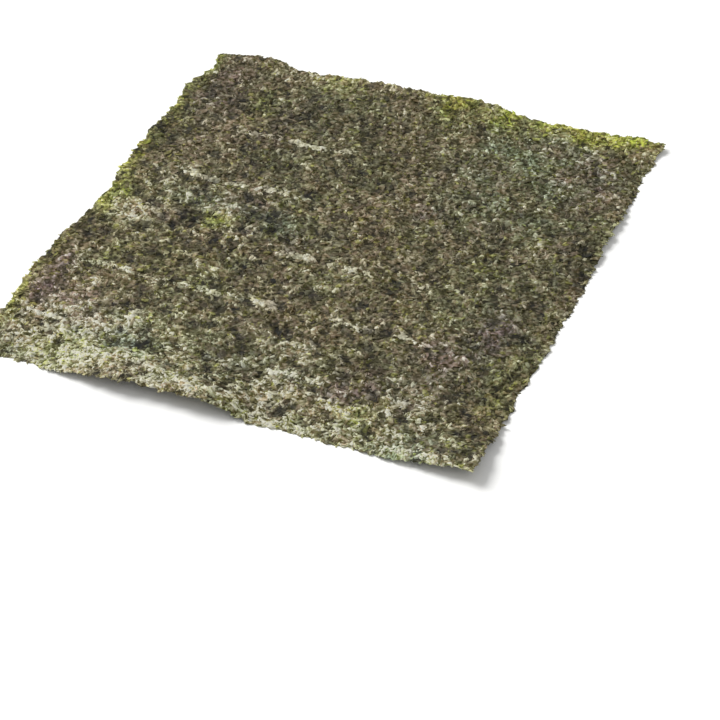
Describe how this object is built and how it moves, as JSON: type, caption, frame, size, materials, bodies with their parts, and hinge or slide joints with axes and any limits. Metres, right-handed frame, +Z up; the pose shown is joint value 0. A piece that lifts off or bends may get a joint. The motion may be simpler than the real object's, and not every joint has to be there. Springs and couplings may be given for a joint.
{
  "type": "nori sheet",
  "caption": "Thin square-cut sheet of dried, roasted laver, dark olive green with a ragged fringe, lying flat with its edges slightly curled.",
  "frame": {"origin": "middle of the sheet's footprint, on the surface that it rests on", "axes": "+X across the sheet, along the ridges that the drying mat's threads leave; +Y along the sheet, its longer side; +Z up, out of the lumpy face"},
  "size_m": [0.1936, 0.2152, 0.0057],
  "materials": {
    "roasted_laver": "dried, pressed and roasted laver: dark olive green, mottled, faintly glossy"
  },
  "bodies": {
    "root": {"nori_sheet": "roasted_laver"}
  },
  "joints": []
}
